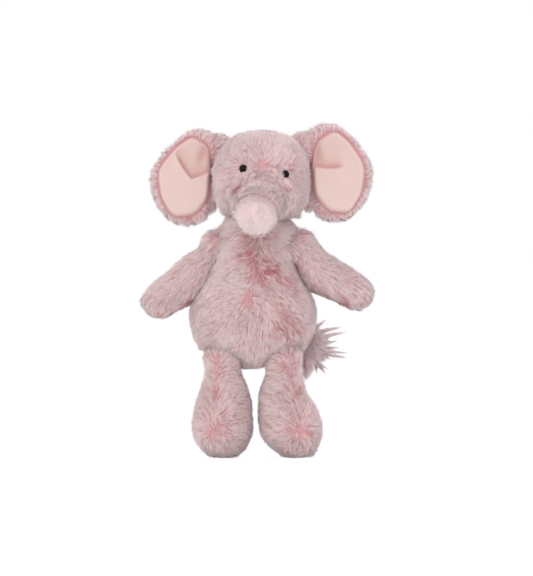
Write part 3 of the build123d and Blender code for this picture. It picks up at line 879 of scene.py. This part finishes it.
def lining_piece(side, way):
    """The velvet pad in an ear: a dished disc with its folds, closed all round."""
    low, high = box_of(f"ear_lining_{side}")
    centre = (low + high) / 2
    half = (high - low) / 2
    rings, around = 40, 120
    turn = np.linspace(0, 2 * math.pi, around, endpoint=False)
    wide, tall = np.cos(turn), np.sin(turn)
    towards_head = np.maximum(-wide * way, 0)
    wobble = 1 + 0.015 * np.sin(5 * turn + way) + 0.012 * np.sin(9 * turn)
    gap_to_head = abs(hinge[f"ear_{side}_flap"][0] - centre[0]) - half[0]
    flat_side = np.minimum(1, 1.25 * np.maximum(1 - tall**2, 0) ** 0.5 / np.maximum(towards_head, 0.2))
    outline_x = wide * (half[0] + 0.8 * MM) * wobble * (1 + 0.05 * np.maximum(-tall, 0))
    to_head = (gap_to_head + 1.5 * MM) * (1 - 0.3 * np.maximum(tall, 0)) * flat_side
    outline_x = outline_x - way * towards_head**0.6 * to_head
    outline_z = tall * (half[2] - 0.3 * MM) * wobble
    points, shades = [], []
    for layer in (0, 1):
        for ring in range(rings, -1, -1) if layer else range(rings + 1):
            share = ring / rings
            x, z = outline_x * share, outline_z * share
            drop = DISH_RADIUS - np.sqrt(DISH_RADIUS**2 - x**2 - z**2)
            inner_fade = 1 - rise(np.full(around, share), 0.93, 1.0)
            fold, shade = lining_folds(side, x / MM, z / MM)
            # painted shade in the folds and pocket, and a painted shade round the rim where the velvet turns
            # back
            shades.append(shade * inner_fade + 0.45 * rise(np.full(around, share), 0.95, 1.0))
            depth = high[1] - 2.2 * MM - drop - fold * inner_fade + layer * 1.4 * MM
            edge = rise(np.full(around, share), 0.86, 1.0) * 1.3 * MM * (1 - layer)
            points.append(np.stack([centre[0] + x, depth + edge, centre[2] + z], axis=1))
    rows = leaned(np.array(points), side, way, centre)
    flat = rows.reshape(-1, 3)
    faces = []
    for row in range(len(rows) - 1):
        for spoke in range(around):
            after = (spoke + 1) % around
            a, b = row * around, (row + 1) * around
            faces.append((a + spoke, a + after, b + after, b + spoke))
    shape = bmesh.new()
    layer = shape.verts.layers.float_color.new("fold")
    corners = [shape.verts.new(point) for point in flat]
    for corner, shade in zip(corners, np.concatenate(shades)):
        corner[layer] = (shade, shade, shade, 1)
    for face in faces:
        shape.faces.new([corners[index] for index in face])
    bmesh.ops.remove_doubles(shape, verts=shape.verts, dist=0.01 * MM)
    bmesh.ops.recalc_face_normals(shape, faces=shape.faces)
    data = bpy.data.meshes.new(f"ear_velvet_{side}")
    shape.to_mesh(data)
    shape.free()
    data.polygons.foreach_set("use_smooth", np.ones(len(data.polygons), bool))
    piece = linked(f"ear_velvet_{side}", data, VELVET)
    rim = rows[rings]
    return piece, rim


def tube(name, path, radius, material, sides=6):
    """A thin round tube along a closed path, as a mesh."""
    after = np.roll(path, -1, axis=0)
    before = np.roll(path, 1, axis=0)
    along = unit(after - before)
    side = unit(np.cross(along, FRONT))
    other = np.cross(along, side)
    turn = 2 * math.pi * np.arange(sides) / sides
    rings = (
        path[:, None]
        + side[:, None] * (np.cos(turn) * radius)[None, :, None]
        + other[:, None] * (np.sin(turn) * radius)[None, :, None]
    )
    count = len(path)
    faces = []
    for row in range(count):
        for spoke in range(sides):
            a, b = row * sides, (row + 1) % count * sides
            faces.append((a + spoke, a + (spoke + 1) % sides, b + (spoke + 1) % sides, b + spoke))
    data = bpy.data.meshes.new(name)
    data.from_pydata(rings.reshape(-1, 3).tolist(), [], faces)
    data.polygons.foreach_set("use_smooth", np.ones(len(faces), bool))
    return linked(name, data, material)


for side, way in SIDES.items():
    skin, body = ears[side], f"ear_{side}"
    subdivided(skin)
    low, high = box_of(f"ear_lining_{side}")
    centre, half = (low + high) / 2, (high - low) / 2
    skin.place(leaned(skin.points, side, way, centre))
    settled(skin, body, 0.4, f"ear_back_{side}", f"ear_lining_{side}")
    velvet, rim = lining_piece(side, way)
    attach(velvet, body)
    # the seam's tube carries painted shade in the groove round the velvet
    seam = tube(f"ear_seam_{side}", rim + mm(0, 0.4, 0), 0.45 * MM, SEAM_SHADE)
    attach(seam, body)

    def off_lining(root, normal):
        """Hair roots outside the lining, or on the ear's back."""
        upright = leaned(root, side, way, centre, -1) - centre
        inward = np.where(upright[:, 0] * way < 0, 1.22, 1.03)
        gap = np.hypot(upright[:, 0] / half[0] / inward, upright[:, 2] / half[2])
        return (gap > 0.99) | (normal[:, 1] > 0.25)

    pile = Pile(skin, EAR_PILE, 20 + way, off_lining)
    gap = (pile.root - centre) * [1, 0, 1]
    ring = np.linalg.norm(gap / [half[0], 1, half[2]], axis=1)
    facing = rise(-pile.normal[:, 1], -0.1, 0.6)
    pile.lie = unit(gap) + np.array([0, 0.35, -0.45]) * (1 - facing)[:, None] - 0.1 * FRONT * facing[:, None]
    pile.lift = 0.55 - 0.1 * facing
    pile.length = (8.0 - 1.5 * facing - 1.0 * rise(-gap[:, 2], 20 * MM, 42 * MM)) * MM
    pile.tone = 0.68 - 0.2 * hill(ring - 1.0, 0.05) * facing + 0.08 * waves(pile.root, 24 * MM, 23)
    pile.tone = pile.tone - 0.15 * rise(-gap[:, 2], 25 * MM, 42 * MM)
    grown(f"ear_pile_{side}", pile, body)

# ------------------------------------------------------------------ tail

settled(tail, "tail", 0.5, "tail_stem", "tail_tuft")
pile = Pile(tail, FINE_PILE, 30)
out = pile.root - (tail_end + mm(-6, 0, 6))
low_end = rise(-out[:, 2], 14 * MM, 28 * MM)
pile.lie = unit(out * [1.0, 0.6, 1.0]) + np.array([0.5, 0, -0.25])
pile.lie = pile.lie + low_end[:, None] * np.array([-1.2, 0, -1.2])
pile.length = (9 + 8 * rise(out[:, 0], 0, 10 * MM) * (1 - low_end)) * MM
pile.tone = 0.74 + 0.1 * waves(pile.root, 16 * MM, 29)
pile.lift = np.full(pile.count, 0.6)
grown("tail_pile", pile, "tail", material=TAIL_HAIR, slot="tuft_hair", mess=0.45, clump=0.7)

# wisps: (degrees above level, reach in mm, hairs)
WISPS = [
    (53, 33, 60),
    (28, 41, 46),
    (19, 43, 40),
    (11, 32, 46),
    (-2, 33, 40),
    (-9, 43, 36),
    (-15, 43, 40),
    (-46, 31, 60),
    (-54, 34, 60),
    (72, 25, 50),
    (-70, 30, 60),
    (-30, 26, 60),
    (40, 26, 60),
]
WISP_STEPS = 6
WISP_TAPER = tuple(1 - 0.8 * step / WISP_STEPS for step in range(WISP_STEPS))
rng = np.random.default_rng(SEED + 77)
for number, (angle, reach, hair_count) in enumerate(WISPS, 1):
    way = np.array([math.cos(math.radians(angle)), 0, math.sin(math.radians(angle))])
    bend = np.array([-way[2], 0, way[0]]) * rng.uniform(-5, 5) * MM
    depth = rng.uniform(-5, 5) * MM
    spread = rng.normal(0, 2.4, (hair_count, 3)) * MM
    ends = rng.normal(0, 0.35, (hair_count, 3)) * MM
    lengths = rng.uniform(0.8, 1.0, hair_count)[:, None]
    lines = []
    for step in range(WISP_STEPS + 1):
        share = step / WISP_STEPS
        base = tail_end + way * reach * MM * share * lengths
        sway = bend * math.sin(math.pi * share)
        lines.append(base + sway + spread * (1 - share) ** 0.9 + ends * share + np.array([0, depth, 0]))
    tone = np.clip(rng.normal(0.8, 0.1, hair_count), 0.05, 0.95)
    outward = np.tile(FRONT * 0.7 + UP * 0.7, (hair_count, 1))
    thick = np.full(hair_count, 0.5 * MM)
    piece = hair_mesh(f"tail_wisp_{number}", lines, thick, tone, TAIL_HAIR, WISP_TAPER, outward)
    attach(piece, "tail")

# ------------------------------------------------------------------ studio


def white_when_seen(tree, lit, shown):
    """Mixes a lit shader with a shown one, for what the camera, a gloss or a clear piece sees."""
    path = tree.nodes.new("ShaderNodeLightPath")
    seen = path.outputs["Is Camera Ray"]
    for label in ("Is Glossy Ray", "Is Transmission Ray"):
        most = tree.nodes.new("ShaderNodeMath")
        most.operation = "MAXIMUM"
        tree.links.new(seen, most.inputs[0])
        tree.links.new(path.outputs[label], most.inputs[1])
        seen = most.outputs[0]
    mix = tree.nodes.new("ShaderNodeMixShader")
    tree.links.new(seen, mix.inputs[0])
    tree.links.new(lit, mix.inputs[1])
    tree.links.new(shown, mix.inputs[2])
    return mix.outputs[0]


def studio_floor():
    data = bpy.data.meshes.new("studio_floor")
    half = 6.0
    corners = [(-half, -half, 0), (half, -half, 0), (half, half, 0), (-half, half, 0)]
    data.from_pydata(corners, [], [(0, 1, 2, 3)])
    material = bpy.data.materials.new("White floor")
    material.use_nodes = True
    tree = material.node_tree
    tree.nodes.remove(tree.nodes["Principled BSDF"])
    diffuse = tree.nodes.new("ShaderNodeBsdfDiffuse")
    diffuse.inputs["Color"].default_value = (0.9, 0.9, 0.9, 1)
    glow = tree.nodes.new("ShaderNodeEmission")
    glow.inputs["Strength"].default_value = 1.07
    part = tree.nodes.new("ShaderNodeMixShader")
    part.inputs[0].default_value = 0.12
    tree.links.new(glow.outputs[0], part.inputs[1])
    tree.links.new(diffuse.outputs[0], part.inputs[2])
    output = tree.nodes["Material Output"]
    tree.links.new(white_when_seen(tree, diffuse.outputs[0], part.outputs[0]), output.inputs["Surface"])
    floor = linked("studio_floor", data, material)


def studio_world(strength):
    world = bpy.data.worlds.new("White studio")
    bpy.context.scene.world = world
    world.use_nodes = True
    tree = world.node_tree
    lit = tree.nodes["Background"]
    lit.inputs["Color"].default_value = (1, 1, 1, 1)
    lit.inputs["Strength"].default_value = strength
    shown = tree.nodes.new("ShaderNodeBackground")
    shown.inputs["Color"].default_value = (1, 1, 1, 1)
    output = tree.nodes["World Output"]
    tree.links.new(white_when_seen(tree, lit.outputs[0], shown.outputs[0]), output.inputs["Surface"])


def soft_lamp(name, place, aim, size, watts):
    """A square softbox lamp."""
    lamp = bpy.data.lights.new(name, "AREA")
    lamp.size = size
    lamp.energy = watts
    body = bpy.data.objects.new(name, lamp)
    body.location = place
    way = np.array(aim) - np.array(place)
    body.rotation_euler = Vector(way).to_track_quat("-Z", "Y").to_euler()
    bpy.context.scene.collection.objects.link(body)


studio_floor()
studio_world(0.9)
aim = (0, 0, 0.16)
soft_lamp("key_lamp", (-0.45, -2.1, 0.95), aim, 0.9, 7.5)
soft_lamp("fill_lamp", (0.7, -2.1, 0.35), aim, 1.0, 4)
soft_lamp("top_lamp", (0.0, 0.3, 1.9), aim, 1.0, 4)

# camera: level with the toy, far away, its frame as tall as 534.5 mm at the toy
DISTANCE = 3.2
FRAME_TALL = 0.5345
TILT = math.radians(1.5)
lens = bpy.data.cameras.new("long_lens")
lens.sensor_fit = "VERTICAL"
lens.sensor_height = 24
lens.lens = 24 * DISTANCE / FRAME_TALL
camera = bpy.data.objects.new("long_lens", lens)
centre = np.array([8.1, 0.0, 157.8]) * MM
camera.location = centre + DISTANCE * np.array([0, -math.cos(TILT), math.sin(TILT)])
camera.rotation_euler = (math.pi / 2 - TILT, 0, 0)
bpy.context.scene.collection.objects.link(camera)
bpy.context.scene.camera = camera
bpy.context.scene.view_settings.view_transform = "Standard"
